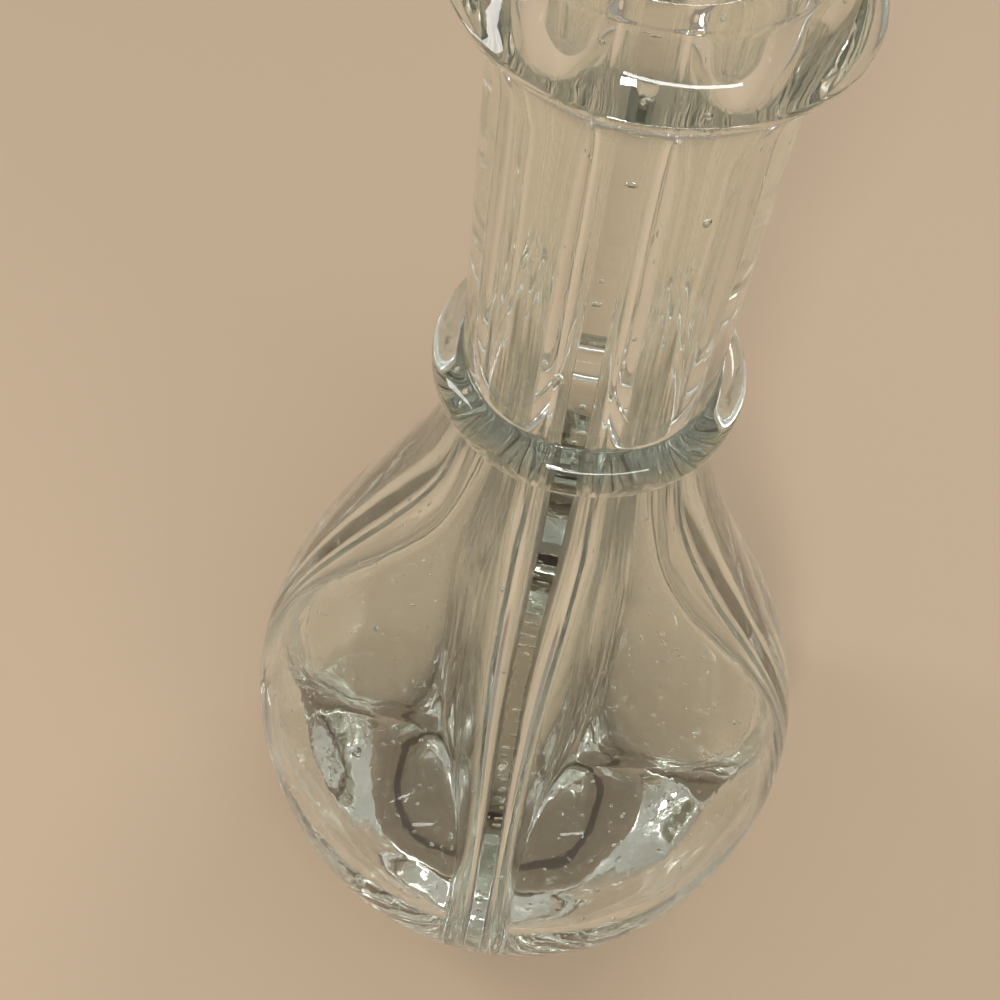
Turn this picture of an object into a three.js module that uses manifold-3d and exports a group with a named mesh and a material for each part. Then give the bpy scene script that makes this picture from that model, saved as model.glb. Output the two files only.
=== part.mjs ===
// Four-chamber glass decanter, empty, with its four stoppers in place.
// Millimetres, +Z up. The origin is the middle of the base, and the front faces -Y.
import * as THREE from 'three';
import { mergeVertices } from 'three/addons/utils/BufferGeometryUtils.js';
import Module from 'manifold-3d';

const wasm = await Module();
wasm.setup();

// Globe and neck, outside
const NECK_RADIUS = 23;
const NECK_TOP = 292;
const NECK_TOP_ROUNDING = 2;
const GLOBE_RADIUS = 65.7;
const GLOBE_CENTRE = 66;
const GLOBE_DEPTH = 84;
const SHOULDER_TOP = 190;
const SHOULDER_LOWER_PULL = 28;
const SHOULDER_UPPER_PULL = 36;
const FOOT_ROUNDING = 2.5;
const KICK_RADIUS = 24;
const KICK_HEIGHT = 2.5;

// Bubbles, one in each quarter, round in the neck and square-cornered in the globe
const WEB_HALF = 1.4;
const GLOBE_WALL = 4.2;
const NECK_WALL = 3.4;
const FLOOR_HEIGHT = 8;
const FLOOR_CENTRE = 26;
const FLOOR_FULLNESS = 1.7;
const WEB_FLARE_TOP = 40;
const CORE_SHARE = 0.66;
const CORE_SMALLEST_AT = 90;
const CORE_ROUND_ABOVE = 150;
const CORE_SHARE_GAIN = 0.7;
const CORE_GAIN_DEPTH = 59;
const CORNER_SHARE = 0.23;
const CORNER_SMALL_BELOW = 85;
const CORNER_ROUND_ABOVE = 165;
const ROUND_SHARE = 0.98;
const FLOOR_ROUND_FROM = 45;
const FLOOR_ROUND_BELOW = 14;

// Glass wound on the neck
const RING_CENTRE_RADIUS = 23.7;
const RING_TUBE_RADIUS = 4.65;
const RING_HEIGHT = 194.5;
const COLLAR_FOOT = 264;
const COLLAR_RADIUS = 29.7;
const COLLAR_HEIGHT = 277.2;
const COLLAR_EDGE = 0.7;
const COLLAR_CREASE_RADIUS = 24.7;
const COLLAR_CREASE_HEIGHT = 282.6;
const COLLAR_TOP = 286;

// Spouts, one over each neck channel, leaning outwards
const SPOUT_OFFSET = 9.7;
const SPOUT_TILT = THREE.MathUtils.degToRad(18);
const SPOUT_RADIUS = 8.6;
const SPOUT_WAIST = 7.2;
const SPOUT_LENGTH = 21;
const LIP_RADIUS = 9.6;
const LIP_THICKNESS = 2.6;
const SEAT_RADIUS = 5.4;
const SEAT_TAPER = 0.05;
const SEAT_CHAMFER = 0.6;

// Stoppers, ground plug below and drop-shaped finial above
const PLUG_LENGTH = 12;
const FLANGE_RADIUS = 7.4;
const FLANGE_THICKNESS = 1.9;
const STEM_RADIUS = 3.4;
const FINIAL_FOOT = 4.2;
const FINIAL_RADIUS = 8;
const FINIAL_WIDEST = 12.5;
const FINIAL_TIP = 22.5;

// Clearances
const SEAM_GAP = 0.3;
const SEAT_GAP = 0.3;

// Fineness of the facets
const BODY_SIDES = 40;
const SMALL_SIDES = 16;
const CURVE_STEPS = 3;
const LOWER_STEPS = 9;
const SHOULDER_STEPS = 13;
const RING_STEPS = 10;
const CORNER_STEPS = 4;
const WALL_STEPS = 5;
const BUBBLE_FLOOR_LEVELS = 7;
const BUBBLE_SHOULDER_LEVELS = 9;

const QUARTER_NAMES = ['rear_right', 'rear_left', 'front_left', 'front_right'];
const QUARTER_TURN = Math.PI / 2;

const point = (x, y) => new THREE.Vector2(x, y);
const mix = THREE.MathUtils.lerp;

// A lathe turns its outline about Y, and the decanter stands on Z
function turned(points, sides) {
  return new THREE.LatheGeometry(points, sides).rotateX(QUARTER_TURN);
}

function solidFrom(geometry) {
  const bare = geometry.clone();
  bare.deleteAttribute('normal');
  bare.deleteAttribute('uv');
  const merged = mergeVertices(bare);
  return new wasm.Manifold(new wasm.Mesh({
    numProp: 3,
    vertProperties: new Float32Array(merged.attributes.position.array),
    triVerts: new Uint32Array(merged.index.array),
  }));
}

function geometryFrom(solid) {
  const mesh = solid.getMesh();
  const geometry = new THREE.BufferGeometry();
  geometry.setAttribute('position', new THREE.BufferAttribute(mesh.vertProperties, 3));
  geometry.setIndex(new THREE.BufferAttribute(mesh.triVerts, 1));
  geometry.computeVertexNormals();
  return geometry;
}

// Outside of the globe above its widest circle, drawn in to the neck
const shoulder = new THREE.CubicBezierCurve(
  point(GLOBE_RADIUS, GLOBE_CENTRE),
  point(GLOBE_RADIUS, GLOBE_CENTRE + SHOULDER_LOWER_PULL),
  point(NECK_RADIUS, SHOULDER_TOP - SHOULDER_UPPER_PULL),
  point(NECK_RADIUS, SHOULDER_TOP),
);

function shoulderRadius(height) {
  let low = 0;
  let high = 1;
  for (let halving = 0; halving < 30; halving += 1) {
    const middle = (low + high) / 2;
    if (shoulder.getPoint(middle).y < height) low = middle;
    else high = middle;
  }
  return shoulder.getPoint(low).x;
}

// The globe below its widest circle is half an ellipse, cut level at the base
function lowerPoint(angle) {
  const radius = GLOBE_RADIUS * Math.cos(angle);
  return point(radius, GLOBE_CENTRE - GLOBE_DEPTH * Math.sin(angle));
}

// Whole outside of globe and neck, with a pushed-up base inside the ring that it stands on
function bodyOutline() {
  const footAngle = Math.asin((GLOBE_CENTRE - FOOT_ROUNDING) / GLOBE_DEPTH);
  const foot = lowerPoint(footAngle);
  const outline = new THREE.Path();
  outline.moveTo(0, KICK_HEIGHT);
  outline.quadraticCurveTo(0.7 * KICK_RADIUS, KICK_HEIGHT, KICK_RADIUS, 0);
  outline.lineTo(foot.x - 2 * FOOT_ROUNDING, 0);
  outline.quadraticCurveTo(foot.x - FOOT_ROUNDING / 2, 0, foot.x, foot.y);
  const points = outline.getPoints(CURVE_STEPS);
  for (let step = 1; step < LOWER_STEPS; step += 1) {
    points.push(lowerPoint(mix(footAngle, 0, step / LOWER_STEPS)));
  }
  points.push(...shoulder.getPoints(SHOULDER_STEPS));
  const rim = new THREE.Path();
  rim.moveTo(NECK_RADIUS, NECK_TOP - NECK_TOP_ROUNDING);
  rim.quadraticCurveTo(NECK_RADIUS, NECK_TOP, NECK_RADIUS - NECK_TOP_ROUNDING, NECK_TOP);
  points.push(...rim.getPoints(CURVE_STEPS), point(0, NECK_TOP));
  return points;
}

// From the middle plane of a web to the bubble, more where the bubble rounds into its floor
function webDistance(height) {
  if (height >= WEB_FLARE_TOP) return WEB_HALF;
  const drop = (WEB_FLARE_TOP - height) / (WEB_FLARE_TOP - FLOOR_HEIGHT);
  return mix(FLOOR_CENTRE, WEB_HALF, Math.sqrt(1 - drop * drop));
}

// From the axis of the decanter to the far side of the bubble
function bubbleRadius(height) {
  if (height >= SHOULDER_TOP) return NECK_RADIUS - NECK_WALL;
  if (height >= GLOBE_CENTRE) {
    const rise = (height - GLOBE_CENTRE) / (SHOULDER_TOP - GLOBE_CENTRE);
    return shoulderRadius(height) - mix(GLOBE_WALL, NECK_WALL, rise);
  }
  const drop = (GLOBE_CENTRE - height) / (GLOBE_CENTRE - FLOOR_HEIGHT);
  const share = (1 - drop ** FLOOR_FULLNESS) ** (1 / FLOOR_FULLNESS);
  return mix(Math.SQRT2 * FLOOR_CENTRE, GLOBE_RADIUS - GLOBE_WALL, share);
}

// How much of the largest circle in its quarter the bubble's corner at the webs takes for its radius
function coreShare(height) {
  if (height < CORE_SMALLEST_AT) {
    const depth = (CORE_SMALLEST_AT - height) / CORE_GAIN_DEPTH;
    return CORE_SHARE + CORE_SHARE_GAIN * depth * depth;
  }
  return mix(CORE_SHARE, ROUND_SHARE, THREE.MathUtils.smoothstep(height, CORE_SMALLEST_AT, CORE_ROUND_ABOVE));
}

// The same for its two corners at the wall
function cornerShare(height) {
  return mix(CORNER_SHARE, ROUND_SHARE, THREE.MathUtils.smoothstep(height, CORNER_SMALL_BELOW, CORNER_ROUND_ABOVE));
}

// One level of a bubble: a quarter disc whose corners are rounded so far that neck and floor are round
function bubbleSection(height) {
  const web = webDistance(height);
  const radius = bubbleRadius(height);
  const largest = (radius + web) / (1 + Math.SQRT2) - web;
  const roundness = 1 - THREE.MathUtils.smoothstep(height, FLOOR_ROUND_BELOW, FLOOR_ROUND_FROM);
  const corner = largest * mix(cornerShare(height), ROUND_SHARE, roundness);
  const reach = Math.sqrt((radius - corner) ** 2 - (web + corner) ** 2);
  const core = Math.min(largest * mix(coreShare(height), ROUND_SHARE, roundness), reach - web);
  const edge = Math.atan2(web + corner, reach);
  const section = [];
  const addArc = (x, y, arcRadius, from, to, steps) => {
    for (let step = 0; step <= steps; step += 1) {
      const angle = mix(from, to, step / steps);
      section.push(new THREE.Vector3(x + arcRadius * Math.cos(angle), y + arcRadius * Math.sin(angle), height));
    }
  };
  const wallEdge = (QUARTER_TURN - 2 * edge) / WALL_STEPS;
  addArc(web + core, web + core, core, 2 * QUARTER_TURN, 3 * QUARTER_TURN, CORNER_STEPS);
  addArc(reach, web + corner, corner, -QUARTER_TURN, edge, CORNER_STEPS);
  addArc(0, 0, radius, edge + wallEdge, QUARTER_TURN - edge - wallEdge, WALL_STEPS - 2);
  addArc(web + corner, reach, corner, QUARTER_TURN - edge, 2 * QUARTER_TURN, CORNER_STEPS);
  return section;
}

function bubbleHeights() {
  const heights = [];
  for (let level = 1; level <= BUBBLE_FLOOR_LEVELS; level += 1) {
    const angle = QUARTER_TURN * (level / BUBBLE_FLOOR_LEVELS);
    heights.push(mix(GLOBE_CENTRE, FLOOR_HEIGHT, Math.cos(angle)));
  }
  for (let level = 1; level <= BUBBLE_SHOULDER_LEVELS; level += 1) {
    heights.push(mix(GLOBE_CENTRE, SHOULDER_TOP, level / BUBBLE_SHOULDER_LEVELS));
  }
  heights.push(NECK_TOP + 1);
  return heights;
}

// Closed skin over a stack of sections, from a point at the floor to a flat top
function loft(foot, sections) {
  const count = sections[0].length;
  const top = sections[sections.length - 1];
  const middle = top.reduce((sum, vertex) => sum.add(vertex), new THREE.Vector3()).divideScalar(count);
  const vertices = [foot, ...sections.flat(), middle];
  const lastRing = vertices.length - 1 - count;
  const index = [];
  for (let side = 0; side < count; side += 1) {
    const next = (side + 1) % count;
    index.push(0, 1 + next, 1 + side);
    for (let ring = 1; ring < lastRing; ring += count) {
      const above = ring + count;
      index.push(ring + side, ring + next, above + next);
      index.push(ring + side, above + next, above + side);
    }
    index.push(lastRing + side, lastRing + next, vertices.length - 1);
  }
  const geometry = new THREE.BufferGeometry().setFromPoints(vertices);
  geometry.setIndex(index);
  return geometry;
}

// A quarter of the turned body, hollowed by its bubble
function makeBlownQuarter() {
  const body = solidFrom(turned(bodyOutline(), BODY_SIDES));
  const size = 2 * NECK_TOP;
  const quarter = new THREE.BoxGeometry(size, size, size);
  quarter.translate((size + SEAM_GAP) / 2, (size + SEAM_GAP) / 2, 0);
  const foot = new THREE.Vector3(FLOOR_CENTRE, FLOOR_CENTRE, FLOOR_HEIGHT);
  const bubble = loft(foot, bubbleHeights().map(bubbleSection));
  return body.intersect(solidFrom(quarter)).subtract(solidFrom(bubble));
}

// The part of a solid between two seams
function sliceBetween(solid, low, high) {
  const above = solid.trimByPlane([0, 0, 1], low + SEAM_GAP / 2);
  return geometryFrom(above.trimByPlane([0, 0, -1], SEAM_GAP / 2 - high));
}

// Thick thread of glass wound round the foot of the neck
function makeNeckRing() {
  const inside = NECK_RADIUS + SEAM_GAP;
  const opening = Math.acos((inside - RING_CENTRE_RADIUS) / RING_TUBE_RADIUS);
  const outline = new THREE.Path();
  outline.absarc(RING_CENTRE_RADIUS, RING_HEIGHT, RING_TUBE_RADIUS, -opening, opening, false);
  outline.closePath();
  return turned(outline.getPoints(RING_STEPS), BODY_SIDES);
}

// Collar that flares out to a thin edge, then falls back in over a crease
function makeDripCollar() {
  const inside = NECK_RADIUS + SEAM_GAP;
  const edgeRadius = COLLAR_RADIUS + COLLAR_EDGE;
  const below = COLLAR_HEIGHT - COLLAR_EDGE;
  const above = COLLAR_HEIGHT + COLLAR_EDGE;
  const creaseFoot = mix(COLLAR_CREASE_RADIUS, COLLAR_RADIUS, 0.3);
  const outline = new THREE.Path();
  outline.moveTo(inside, COLLAR_FOOT);
  outline.quadraticCurveTo(inside + COLLAR_EDGE, mix(COLLAR_FOOT, below, 0.7), COLLAR_RADIUS, below);
  outline.quadraticCurveTo(edgeRadius, COLLAR_HEIGHT, COLLAR_RADIUS, above);
  outline.quadraticCurveTo(creaseFoot, mix(above, COLLAR_CREASE_HEIGHT, 0.4), COLLAR_CREASE_RADIUS, COLLAR_CREASE_HEIGHT);
  outline.lineTo(inside, COLLAR_TOP);
  outline.closePath();
  return turned(outline.getPoints(CURVE_STEPS), BODY_SIDES);
}

// A spout in its own frame, upright with its mouth at height zero, and too long at its foot
function spoutOutline() {
  const deep = -SPOUT_LENGTH - SPOUT_RADIUS;
  const boreRadius = SEAT_RADIUS - SEAT_TAPER * PLUG_LENGTH;
  const outline = new THREE.Path();
  outline.moveTo(boreRadius, deep);
  outline.lineTo(SPOUT_RADIUS, deep);
  outline.lineTo(SPOUT_RADIUS, -0.8 * SPOUT_LENGTH);
  outline.bezierCurveTo(
    SPOUT_WAIST, -0.5 * SPOUT_LENGTH,
    SPOUT_WAIST, -2 * LIP_THICKNESS,
    LIP_RADIUS, -LIP_THICKNESS,
  );
  outline.quadraticCurveTo(LIP_RADIUS + LIP_THICKNESS / 2, -LIP_THICKNESS / 2, LIP_RADIUS - LIP_THICKNESS / 2, 0);
  outline.lineTo(SEAT_RADIUS + SEAT_CHAMFER, 0);
  outline.lineTo(SEAT_RADIUS, -SEAT_CHAMFER);
  outline.lineTo(boreRadius, -PLUG_LENGTH - SEAT_CHAMFER);
  outline.closePath();
  return outline.getPoints(CURVE_STEPS);
}

// Puts an object that was made upright at the mouth of its leaning spout
function placeOnSpout(object) {
  const lean = SPOUT_LENGTH * Math.sin(SPOUT_TILT) * Math.SQRT1_2;
  const rise = SPOUT_LENGTH * Math.cos(SPOUT_TILT);
  object.position.set(SPOUT_OFFSET + lean, SPOUT_OFFSET + lean, NECK_TOP + rise);
  object.setRotationFromAxisAngle(new THREE.Vector3(-1, 1, 0).normalize(), SPOUT_TILT);
  object.updateMatrix();
  return object;
}

// The leaning spout, cut level where it meets the top of the neck
function makeSpout() {
  const place = placeOnSpout(new THREE.Object3D());
  const tube = turned(spoutOutline(), SMALL_SIDES).applyMatrix4(place.matrix);
  const below = new THREE.BoxGeometry(NECK_TOP, NECK_TOP, NECK_TOP);
  below.translate(0, 0, NECK_TOP / 2 + SEAM_GAP);
  return geometryFrom(solidFrom(tube).subtract(solidFrom(below)));
}

function plugRadius(depth) {
  return SEAT_RADIUS - SEAT_GAP - SEAT_TAPER * depth;
}

// Ground plug, a flange that stands on the lip, a short stem and a drop-shaped finial
function makeStopper() {
  const flangeTop = SEAT_GAP + FLANGE_THICKNESS;
  const bulge = FLANGE_RADIUS + FLANGE_THICKNESS / 3;
  const outline = new THREE.Path();
  outline.moveTo(0, -PLUG_LENGTH);
  outline.lineTo(plugRadius(PLUG_LENGTH) - SEAT_CHAMFER, -PLUG_LENGTH);
  outline.lineTo(plugRadius(PLUG_LENGTH), -PLUG_LENGTH + SEAT_CHAMFER);
  outline.lineTo(plugRadius(0), SEAT_GAP);
  outline.lineTo(FLANGE_RADIUS, SEAT_GAP);
  outline.quadraticCurveTo(bulge, SEAT_GAP + FLANGE_THICKNESS / 2, FLANGE_RADIUS, flangeTop);
  outline.quadraticCurveTo(STEM_RADIUS, flangeTop, STEM_RADIUS, FINIAL_FOOT);
  outline.bezierCurveTo(
    FINIAL_RADIUS, 1.3 * FINIAL_FOOT,
    FINIAL_RADIUS, mix(FINIAL_FOOT, FINIAL_WIDEST, 0.6),
    FINIAL_RADIUS, FINIAL_WIDEST,
  );
  outline.bezierCurveTo(
    FINIAL_RADIUS, mix(FINIAL_WIDEST, FINIAL_TIP, 0.5),
    0.3 * FINIAL_RADIUS, mix(FINIAL_WIDEST, FINIAL_TIP, 0.6),
    0, FINIAL_TIP,
  );
  return turned(outline.getPoints(CURVE_STEPS), SMALL_SIDES);
}

function glass(color, roughness) {
  return new THREE.MeshStandardMaterial({
    color,
    roughness,
    metalness: 0,
    transparent: true,
    opacity: 0.35,
  });
}

function named(name, geometry, material) {
  const mesh = new THREE.Mesh(geometry, material);
  mesh.name = name;
  return mesh;
}

const decanter = new THREE.Group();
decanter.name = 'four_chamber_decanter';
decanter.add(named('neck_ring', makeNeckRing(), glass(0xb9c4b4, 0.05)));
decanter.add(named('drip_collar', makeDripCollar(), glass(0xc3ccc4, 0.08)));

// A blown quarter ends in seams at its widest circle and under the ring, which hides the upper one
const blownQuarter = makeBlownQuarter();
const bowl = sliceBetween(blownQuarter, -1, GLOBE_CENTRE);
const upperGlobe = sliceBetween(blownQuarter, GLOBE_CENTRE, RING_HEIGHT);
const neck = sliceBetween(blownQuarter, RING_HEIGHT, NECK_TOP + 1);
const spout = makeSpout();
const stopper = makeStopper();
QUARTER_NAMES.forEach((name, turn) => {
  const quarter = new THREE.Group();
  quarter.rotation.z = turn * QUARTER_TURN;
  quarter.add(named(`bowl_${name}`, bowl, glass(0xcbd3c8, 0.05)));
  quarter.add(named(`shoulder_${name}`, upperGlobe, glass(0xcbd3c8, 0.05)));
  quarter.add(named(`neck_${name}`, neck, glass(0xcbd3c8, 0.05)));
  quarter.add(named(`spout_${name}`, spout, glass(0xcbd3c8, 0.06)));
  quarter.add(placeOnSpout(named(`stopper_${name}`, stopper, glass(0xd2d8d0, 0.04))));
  decanter.add(quarter);
});

export default decanter;
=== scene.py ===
import math
import random

import bmesh
import bpy
import numpy as np
from mathutils import Matrix, Vector, noise
from mathutils.bvhtree import BVHTree


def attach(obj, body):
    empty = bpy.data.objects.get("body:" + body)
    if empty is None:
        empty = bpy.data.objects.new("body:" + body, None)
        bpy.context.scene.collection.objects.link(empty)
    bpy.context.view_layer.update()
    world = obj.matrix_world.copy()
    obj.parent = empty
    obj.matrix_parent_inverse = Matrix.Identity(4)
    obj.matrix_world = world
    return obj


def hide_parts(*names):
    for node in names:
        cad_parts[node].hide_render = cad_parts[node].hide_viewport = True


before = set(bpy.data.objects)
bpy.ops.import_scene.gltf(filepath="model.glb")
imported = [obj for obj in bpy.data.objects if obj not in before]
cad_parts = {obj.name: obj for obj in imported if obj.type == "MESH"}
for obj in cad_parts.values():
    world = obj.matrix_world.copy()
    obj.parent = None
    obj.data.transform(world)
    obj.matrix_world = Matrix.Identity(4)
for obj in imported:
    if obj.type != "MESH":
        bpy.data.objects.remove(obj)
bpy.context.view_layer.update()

# Lengths are millimetres until a mesh is made
MM = 0.001
SEED = 41

# Globe and neck, outside
NECK_RADIUS = 23.0
NECK_TOP = 292.0
REVOLVE_TOP = 287.0
GLOBE_RADIUS = 65.7
GLOBE_CENTRE = 66.0
GLOBE_DEPTH = 84.0
SHOULDER_TOP = 190.0
SHOULDER_LOWER_PULL = 28.0
SHOULDER_UPPER_PULL = 36.0
FOOT_ROUNDING = 2.5
KICK_RADIUS = 24.0
KICK_HEIGHT = 2.5
KICK_PULL = 0.7

# Outline of the outside, as points. The collar's edge and the foot melt less than the rest of it
OUTLINE_STEP = 0.2
OUTLINE_MELTS = 22
OUTLINE_POINTS = 250
LOWER_GLOBE_POINTS = 400
EDGE_STEP = 0.1
EDGE_WIDTH = 3
EDGE_REACH = 2
EDGE_SHARPNESS = 0.85
FOOT_REACH = 0.5
FOOT_MELTING = 0.6

# Bubbles
WEB_HALF = 1.4
GLOBE_WALL = 4.2
NECK_WALL = 3.4
FLOOR_HEIGHT = 8.0
FLOOR_CENTRE = 26.0
FLOOR_FULLNESS = 1.7
WEB_FLARE_TOP = 40.0
FLAT_HEIGHT = 90.0
CORE_SHARE = 0.66
CORE_GAIN = 0.7
CORE_DROP = 59.0
CORE_ROUND_ABOVE = 150.0
CORNER_SHARE = 0.23
CORNER_WIDENS_ABOVE = 85.0
CORNER_ROUND_ABOVE = 165.0
FLOOR_ROUND_FROM = 45.0
FLOOR_ROUND_BELOW = 14.0
ROUND_SHARE = 0.999
CHANNEL_TOP = 282.0
CHANNEL_OFFSET = 8.7
CHANNEL_ROW = 2.6
GLOBE_ROW = 2.0
FLOOR_ROWS = 64

# Glass wound on the neck
RING_CENTRE_RADIUS = 23.7
RING_TUBE_RADIUS = 4.65
RING_HEIGHT = 194.5
COLLAR_FOOT = 264.0
COLLAR_RADIUS = 29.7
COLLAR_HEIGHT = 277.2
COLLAR_EDGE = 0.7
COLLAR_CREASE_RADIUS = 24.7
COLLAR_CREASE_HEIGHT = 282.6
COLLAR_TOP = 286.0
# Control points of its two curves: shares of the way from crease to edge, and up from its foot
COLLAR_SLOPE_OUT = 0.3
COLLAR_SLOPE_UP = 0.4
COLLAR_BELLY_OUT = 1
COLLAR_BELLY_UP = 0.7

# Spouts and stoppers
SPOUT_OFFSET = 9.7
SPOUT_TILT = math.radians(18)
SPOUT_LENGTH = 21.0
PLUG_LENGTH = 12.0
SEAT_RADIUS = 5.4
SEAT_GAP = 0.3
SEAT_TAPER = 0.05
PLUG_BEVEL = 0.6
FLANGE_THICKNESS = 1.9
FLANGE_EDGE = 8.1
FLANGE_UNDER = 7.2
FLANGE_OVER = 7.0
STEM_RADIUS = 3.4
STEM_TOP = 4.2
KNOB_RADIUS = 8.0
KNOB_FOOT = 5.5
KNOB_WIDEST = 9.2
KNOB_SHOULDER = 12.5
KNOB_PULL = 17.5
TIP_RADIUS = 2.4
TIP_FOOT = 18.5
TIP_TOP = 22.4
STOPPER_STEP = 0.15
STOPPER_MELTS = 6
STOPPER_POINTS = 96

# Cage of the neck's top. Its edge: radius, height, and push outwards beside the spouts
NECK_EDGE = (
    (23.0, REVOLVE_TOP, 0),
    (22.95, 288.7, 0),
    (22.7, 290.4, 0.1),
    (21.0, 291.3, 1.7),
)
# Its points between neighbouring spouts, as radius and height, and the height of its middle
BETWEEN_SPOUTS = ((11.5, 291.0), (5.4, 291.1))
MIDDLE_HEIGHT = 291.2
# Foot of a spout: radius, height, how evenly the points stand round it, and what subdivision leaves of it
SPOUT_ROOT = ((9.0, 292.1, 0.55), (8.6, 294.0, 0.82))
ROOT_SHRINK = 0.975
# A spout from its foot over the lip and down its bore: distance from the mouth, and radius
SPOUT_OUTSIDE = ((-14.2, 8.25), (-11, 7.8), (-8, 7.5), (-5.6, 7.65), (-4.0, 8.5), (-2.7, 9.75))
SPOUT_LIP = ((-1.5, 10.15), (-0.45, 9.75), (-0.05, 8.7), (0.0, 7.2), (-0.1, 6.2), (-0.7, 5.5))
SPOUT_BORE = ((-2.6, 5.28), (-5, 5.16), (-8, 5.0), (-12.5, 4.8), (-16, 4.8))
# From the bore into the channel: distance from both middle planes, height, radius, and share of the tilt
CHANNEL_TURN = (
    (10.0, 292.8, 5.3, 0.5),
    (9.3, 289.2, 6.3, 0.2),
    (8.9, 285.6, 7.1, 0.0),
    (8.699, CHANNEL_TOP, 7.3, 0.0),
)

# Unevenness of the glass: depth, length of its waves, and where in the noise it is read
WALL_SWELL = (0.22, 24, 3.1)
WALL_DIMPLES = (0.07, 9, 7.7)
NECK_STREAKS = (0.05, 2.6, 1.3)
COLLAR_BEADS = (0.13, 3.6, 9.1)
BUBBLE_SWELL = (0.3, 19, 11.3)
BUBBLE_DIMPLES = (0.04, 8, 5.9)
RIPPLE_DEPTH = 0.03
RIPPLE_LENGTH = 3.1
RIPPLE_WANDER = (1.5, 14, 2.2)
# Share of a height that the noise reads, which draws it out upwards, and how finely streaks go round
WALL_DRAWN = 0.45
BUBBLE_DRAWN = 0.6
STREAK_TURN = 9
STREAK_DRAWN = 0.016
# Where it sets in, or fades out: heights, and the radii of the ring and of the rim
FROM_FOOT = (0, 12)
TO_SPOUTS = (291, 285)
ONTO_NECK = (150, 190)
ONTO_RING = (23.5, 25.5)
RING_REACH = 6
RING_CALM = 0.9
ONTO_RIM = (26.5, 29.0)
UP_RIM = (270, 274)
FROM_BUBBLE_FLOOR = (FLOOR_HEIGHT, FLOOR_HEIGHT + 12)
TO_CHANNEL_TOP = (280, 274)
TO_RIPPLES = (40, 28)
# Above this height a bubble is uneven about the neck's axis, and not about its own
BUBBLE_AXIS_TOP = 120
# Lean of the globe: at its base, up to a height, and round another height below its shoulder
BASE_LEAN = 1.5
BASE_LEAN_TOP = 50
SHOULDER_LEAN = 1.2
SHOULDER_LEAN_HEIGHT = 122
SHOULDER_LEAN_REACH = 28

# Glass: its refraction, the share of the cord in its bump, and the tint of its smears
GLASS_IOR = 1.52
CORD_SHARE = 0.45
CALM_CORD_SHARE = 0.1
CALM_REACH = 0.006
SMEAR_TINT = (0.965, 0.985, 0.96)

# Trapped bubbles: radius, spread of the radii, how far they are drawn out, and their room in the glass
SEED_COUNT = 820
SEED_RADIUS = 0.34
SEED_SPREAD = 0.45
SEED_STRETCH = (1.0, 1.9)
GLOBE_STRETCH = 0.35
DRAWN_ABOVE = 150
SEED_PLACE = (0.25, 0.75)
SEED_ROOM = 1.4
THICKEST_GLASS = 30
SEED_TRIES = 8
# How often one is tried for: everywhere, and more below a height, which grows over a depth
SEED_WEIGHT = 0.4
SEED_WEIGHT_LOW = 1.6
SEED_LOW_BELOW = 120
SEED_LOW_DEPTH = 60
UNDER_SKIN = 0.01

# Fineness of the meshes
COLUMNS = 160
CAGE_COLUMNS = 40
LOOP = 64
CAGE_LOOP = 16
CAGE_LEVELS = 2
STOPPER_SIDES = 64

QUARTERS = ("rear_right", "rear_left", "front_left", "front_right")
# Ground glass: its place among a piece's materials, and how far it goes on a seat and on a plug
GROUND_SLOT = 1
SEAT_MARGIN = 0.2
SEAT_GROUND_FROM = 0.4
SEAT_GROUND_PAST = 0.5
PLUG_GROUND_TOP = 0.2


def mix(a, b, t):
    return a + (b - a) * t


def eased(value, start, end):
    """0 before start, 1 past end, and an S-curve between them. Start may be the higher of the two."""
    t = min(max((value - start) / (end - start), 0.0), 1.0)
    return t * t * (3 - 2 * t)


def bezier(*controls, step=0.25):
    """Points along a Bezier curve of any degree, about step apart."""
    controls = np.array(controls, float)
    length = np.linalg.norm(np.diff(controls, axis=0), axis=1).sum()
    t = np.linspace(0, 1, max(2, int(length / step)) + 1)[:, None]
    rows = [np.repeat(c[None], len(t), 0) for c in controls]
    while len(rows) > 1:
        rows = [a * (1 - t) + b * t for a, b in zip(rows, rows[1:])]
    return rows[0]


def arc(centre, radius, start, end, step=0.25):
    count = max(2, int(abs(end - start) * radius / step))
    angle = np.linspace(start, end, count + 1)
    return np.stack([centre[0] + radius * np.cos(angle), centre[1] + radius * np.sin(angle)], 1)


def joined(parts):
    """One polyline from several, without doubled points."""
    points = np.concatenate(parts)
    keep = np.r_[True, np.linalg.norm(np.diff(points, axis=0), axis=1) > 1e-6]
    return points[keep]


def respaced(points, step):
    along = np.r_[0, np.cumsum(np.linalg.norm(np.diff(points, axis=0), axis=1))]
    at = np.linspace(0, along[-1], int(along[-1] / step) + 1)
    return np.stack([np.interp(at, along, points[:, k]) for k in range(points.shape[1])], 1)


def melted(points, strength, rounds):
    """Rounds the corners of a polyline, more where strength is higher."""
    points = points.copy()
    for _ in range(rounds):
        pull = (points[:-2] + points[2:]) / 2 - points[1:-1]
        points[1:-1] += 0.5 * strength[1:-1, None] * pull
    return points


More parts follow.
